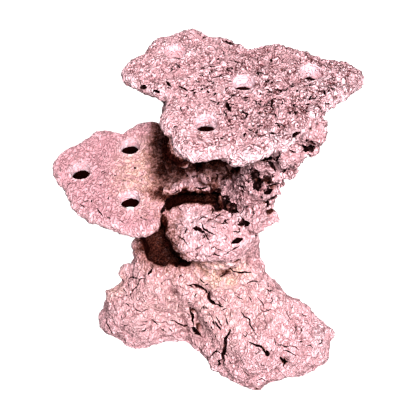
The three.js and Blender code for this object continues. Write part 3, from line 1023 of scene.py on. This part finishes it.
# The drawn cracks as paths on the rock, each with its width and depth.
def crackPaths(tree):
    paths = []
    for width, depth, *drawn in cracks:
        hits = [seenAt(tree, x, y) for x, y in zip(drawn[::2], drawn[1::2])]
        seen = [hit[0] for hit in hits if hit is not None]
        if len(seen) > 1 and np.linalg.norm(np.diff(seen, axis=0), axis=1).max() < blades["longestStep"]:
            paths.append((np.array(seen), width, depth))
        else:
            print("crack left out at", drawn[:2])
    return paths


# Pits as paths too, at random points of each field and then of the sides that aren't seen.
def pitPaths(tree):
    random = np.random.default_rng(pits["seed"])
    paths = []
    for count, x0, y0, x1, y1, width, length in pits["fields"]:
        for x, y in random.uniform((x0, y0), (x1, y1), (count, 2)):
            seen = seenAt(tree, x, y)
            if seen is None or nearHoles(seen[0][None], pits["clear"])[0] > 0:
                continue
            path = wander(random, *seen, length * random.uniform(*pits["longer"]))
            paths.append((path, width * random.uniform(*pits["wider"]), pits["depth"]))
    points, normals = readMesh(skin.data)
    hidden = np.flatnonzero(((normals[:, 1] > 0.2) | (normals[:, 2] < -0.2)) & (points[:, 2] > 3))
    for n in random.choice(hidden, pits["elsewhere"], replace=False):
        if nearHoles(points[n][None], pits["clear"])[0] == 0:
            path = wander(random, points[n], normals[n], random.uniform(*pits["hiddenLength"]))
            paths.append((path, random.uniform(*pits["hiddenWidth"]), pits["depth"]))
    return paths


# Cuts every path into the skin, in a few batches, and counts the paths.
def cutCracks():
    tree = BVHTree.FromObject(skin, bpy.context.evaluated_depsgraph_get())
    paths = crackPaths(tree) + pitPaths(tree)
    made = [blade(tree, path, width, depth, seed) for seed, (path, width, depth) in enumerate(paths)]
    for n in range(blades["batches"]):
        cut(skin, joinPieces("blades", made[n::blades["batches"]], crackFinish))
    return len(paths)


# Drops the chips that the cuts leave loose: points take the lowest number that they or a neighbour hold,
# until each part has one number, and only the largest part stays.
def dropChips():
    mesh = skin.data
    edges = edgesOf(mesh)
    part, before = np.arange(len(mesh.vertices)), None
    while before is None or (part != before).any():
        before = part.copy()
        for end in (0, 1):
            np.minimum.at(part, edges[:, end], part[edges[:, 1 - end]])
        part = part[part]
    loose = np.flatnonzero(part != np.bincount(part).argmax())
    work = bmesh.new()
    work.from_mesh(mesh)
    work.verts.ensure_lookup_table()
    bmesh.ops.delete(work, geom=[work.verts[n] for n in loose], context="VERTS")
    work.to_mesh(mesh)
    work.free()
    return len(loose)


print("cracks and pits cut:", cutCracks())
print("points of loose chips dropped:", dropChips())


# Blobs that change the colour, some of them painted shadow and painted light: middle, half sizes and
# strength. Then limits of the attributes
tintsAndShade = {
    "tan": [
        # warmer patches: mid shelf, neck, foot
        (-34, 22, 112, 18, 28, 10, 1.0), (14, -18, 64, 22, 14, 13, 1.3),
        (0, -24, 40, 50, 30, 30, 0.4), (-60, -8, 40, 12, 12, 14, 1.0),
    ],
    "soot": [
        # painted shadow, darker than the open air makes them: mid shelf beside the column, column, its foot
        (-22, 56, 110, 12, 26, 14, 0.75), (-19, 34, 108, 11, 20, 10, 0.8),
        (8, 6, 147, 36, 16, 14, 0.9), (-1, 17, 123, 9, 5, 9, 0.8),
        (17, 16, 120, 8, 5, 5, 0.8), (-18, 28, 128, 7, 9, 14, 1.1),
        (-12, 21, 122, 11, 9, 13, 0.95),
        # cave to the left of the boulder, under the arch, under the left of the top shelf's front rim
        (-20, -2, 77, 25, 25, 20, 1.2), (-4, 12, 106, 24, 7, 4.5, 1.3),
        (-12, -33, 183, 10, 10, 4.5, 1.4), (-15, -24, 185, 6, 12, 5.5, 1.4),
    ],
    "pale": [
        # paler: front rim and right end of the top shelf, right toe, boulder and above its right end
        (1, -38, 194, 15, 5, 6, 0.15), (29, -40, 193, 13, 5, 6, 0.3),
        (48, -30, 195, 13, 7, 5, 0.5), (74, 4, 196, 18, 22, 6, 0.3),
        (78, -36, 16, 6, 14, 9, 0.6), (-2, -10, 90, 16, 12, 16, 0.4),
        (30, -2, 103, 8, 9, 8, 0.5),
    ],
    "lit": [
        # painted light, lighter than the open air makes them: crust, back of the mid shelf, brow of the arch
        (54, -8, 150, 15, 14, 24, 0.8), (25, -1, 121, 10, 9, 12, 1.0),
        (30, -5, 110, 11, 11, 9, 0.9), (33, -4, 138, 9, 9, 12, 0.6),
        (-42, 60, 112, 12, 16, 12, 0.6), (2, 4, 117, 28, 12, 8, 1.2),
    ],
    "soft": {"tan": 0.6, "soot": 0.65, "pale": 0.5, "lit": 0.4},  # border, in half sizes
    "cavityShade": (0.12, 0.9),  # painted shade in hollows, by their depth below the rounded rock
    "edge": (0.1, 0.9),  # height above it
    "bulge": (0.6, 2.1),  # the same, against a rounder one
    "turned": (-0.2, 0.2),  # slope at the edge of a shelf
    "flat": (0.62, 0.88),  # slope of its surroundings inside the edge
    "closed": (0.08, 0.60),  # share of the air that is seen
    "lighter": 0.85,  # how much a lit blob takes off the shade
    "mostShade": 1.3,
    "plated": (0.55, 0.8, 0.4),  # foot, boulder, crust
    "holeDepth": (1.5, 1.22),  # mid shelf, top shelf
}

# How open each point is
air = {
    "cell": 2.6,  # of the grid
    "reach": 60,
    "directions": 48,
    "start": 1.8,  # off the surface, in cells
    "step": 0.9,
    "below": -0.15,  # rays that point lower
    "fromBelow": 0.3,  # count this much
}


# The share of the air that each point sees: rays walk through a grid of the cells that hold the skin, and
# those that get away count by their cosine to the normal.
def openness(points, normals):
    cell, directions = air["cell"], air["directions"]
    low = points.min(0) - cell
    size = ((points.max(0) - low) / cell).astype(int) + 2
    filled = np.zeros(size, dtype=bool)
    filled[tuple(((points - low) / cell).astype(int).T)] = True
    n = np.arange(directions) + 0.5
    height = 1 - 2 * n / directions
    turn = n * math.pi * (1 + math.sqrt(5))
    level = np.sqrt(1 - height ** 2)
    rays = np.stack([level * np.cos(turn), level * np.sin(turn), height], 1)
    start = points + normals * air["start"] * cell
    seen, weight = np.zeros(len(points)), np.zeros(len(points))
    for ray in rays:
        share = np.clip(normals @ ray, 0, 1) * (1.0 if ray[2] > air["below"] else air["fromBelow"])
        facing = np.flatnonzero(share > 0)
        free = np.ones(len(facing), dtype=bool)
        for away in np.arange(0, air["reach"], cell * air["step"]):
            at = ((start[facing] + ray * away - low) / cell).astype(int)
            inside = ((at >= 0) & (at < size)).all(1)
            at = np.clip(at, 0, size - 1)
            free &= ~(inside & filled[at[:, 0], at[:, 1], at[:, 2]])
        seen[facing] += share[facing] * free
        weight += share
    return seen / np.maximum(weight, 1e-6)


# The strongest of several blobs, each full inside and gone outside a soft border.
def inBlobs(points, name):
    most, soft = np.zeros(len(points)), tintsAndShade["soft"][name]
    for *blob, strength in tintsAndShade[name]:
        away = np.sqrt((((points - blob[:3]) / blob[3:]) ** 2).sum(1))
        most = np.maximum(most, strength * (1 - ramp(away, 1 - soft, 1 + soft)))
    return most


# 1 for the points that only faces of a crack use, 0 for all others.
def insideCracks(mesh):
    finish = np.repeat(valuesOf(mesh.polygons, "material_index"), valuesOf(mesh.polygons, "loop_total"))
    inside = np.ones(len(mesh.vertices))
    inside[valuesOf(mesh.loops, "vertex_index")[finish != crackFinish]] = 0
    return inside


# What the materials read: depth and height against the rock with its small forms melted off, openness,
# blobs, zones, and the way down a plug hole.
def addAttributes():
    mesh = skin.data
    points, normals = readMesh(mesh)
    edges = edgesOf(mesh)
    rounded = relax(points, edges, 20, back=0)
    depth = ((rounded - points) * normals).sum(1)
    rounder = relax(rounded, edges, 50, back=0)
    bulge = ramp(-((rounder - points) * normals).sum(1), *tintsAndShade["bulge"])
    top, topUp, mid, midUp, boulder, foot, crust, right = zonesOf(points, normals)
    closed = 1 - ramp(spread(openness(points, normals), edges, 4), *tintsAndShade["closed"])
    lit = inBlobs(points, "lit")
    isMid = points[:, 2] < 150
    inFace = ramp(spread(normals[:, 2], edges, 8), *tintsAndShade["flat"])
    turned = ramp(normals[:, 2], *tintsAndShade["turned"]) * (1 - inFace)
    shelves = np.maximum(top, 0.2 * mid)
    onFoot, onBoulder, onCrust = tintsAndShade["plated"]
    coarse = 0.4 + (0.4 + 0.4 * right) * topUp - 0.1 * midUp + 0.3 * crust
    level = np.where(isMid, midFace(points), rock["topLevel"])
    # Painted shade: more where little of the air is seen and in the painted shadow blobs, less in the painted
    # light blobs.
    shade = closed + inBlobs(points, "soot") - tintsAndShade["lighter"] * lit
    values = {
        "cavityShade": ramp(depth, *tintsAndShade["cavityShade"]),
        "edge": ramp(-depth, *tintsAndShade["edge"]),
        "rim": np.maximum(bulge, 0.8 * turned) * shelves * (1 - nearHoles(points, 4.0)),
        "plated": np.clip(np.maximum(onFoot * foot, onBoulder * boulder) + onCrust * crust, 0, 1),
        "shade": np.clip(shade, 0, tintsAndShade["mostShade"]),
        "pale": inBlobs(points, "pale"),
        "inside": insideCracks(mesh),
        "tan": inBlobs(points, "tan"),
        "coarse": coarse + 0.2 * lit,
        "dull": midUp,
        "holeDepth": (level - points[:, 2]) * np.where(isMid, *tintsAndShade["holeDepth"]),
    }
    for name, value in values.items():
        mesh.attributes.new(name, "FLOAT", "POINT").data.foreach_set("value", value.astype(np.float32))


addAttributes()
skin.data.shade_smooth()
skin.data.set_sharp_from_angle(angle=math.radians(60))
skin.data.calc_loop_triangles()
print("attributes written,", len(skin.data.loop_triangles), "triangles")


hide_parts("rock_tower")
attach(skin, "root")
print("the skin stands for the rock")
